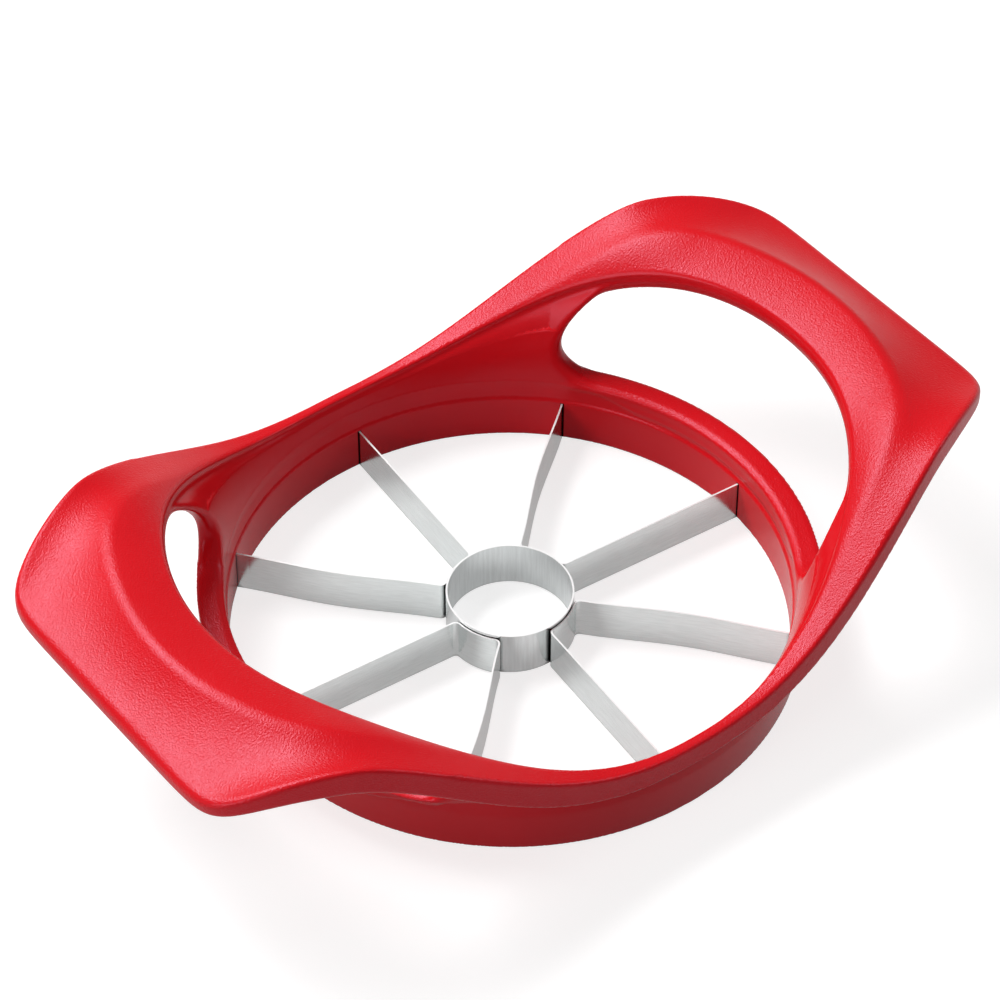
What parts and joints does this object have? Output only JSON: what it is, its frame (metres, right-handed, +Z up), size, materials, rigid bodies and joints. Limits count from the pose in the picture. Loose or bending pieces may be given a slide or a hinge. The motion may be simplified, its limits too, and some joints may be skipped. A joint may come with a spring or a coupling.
{
  "type": "apple slicer",
  "caption": "Hand-pressed apple slicer: round moulded frame with two raised handles, a steel core ring and bent steel strips that cut wedges.",
  "frame": {"origin": "on the axis of the bore, at the foot rim that the slicer stands on (centre of the bounding box in plan)", "axes": "+X from the middle to a handle, +Y across, +Z up, out of the side the apple goes in"},
  "size_m": [0.1542, 0.099, 0.0373],
  "materials": {
    "red_plastic": "moulded red plastic, fine leather grain on the palm faces, smooth and glossy on the walls",
    "core_steel": "rolled stainless tube",
    "strip_steel": "brushed stainless strip"
  },
  "bodies": {
    "root": {"body": "red_plastic", "core_ring": "core_steel", "blade_strip_1": "strip_steel", "blade_strip_2": "strip_steel", "blade_strip_3": "strip_steel", "blade_strip_4": "strip_steel"}
  },
  "joints": []
}
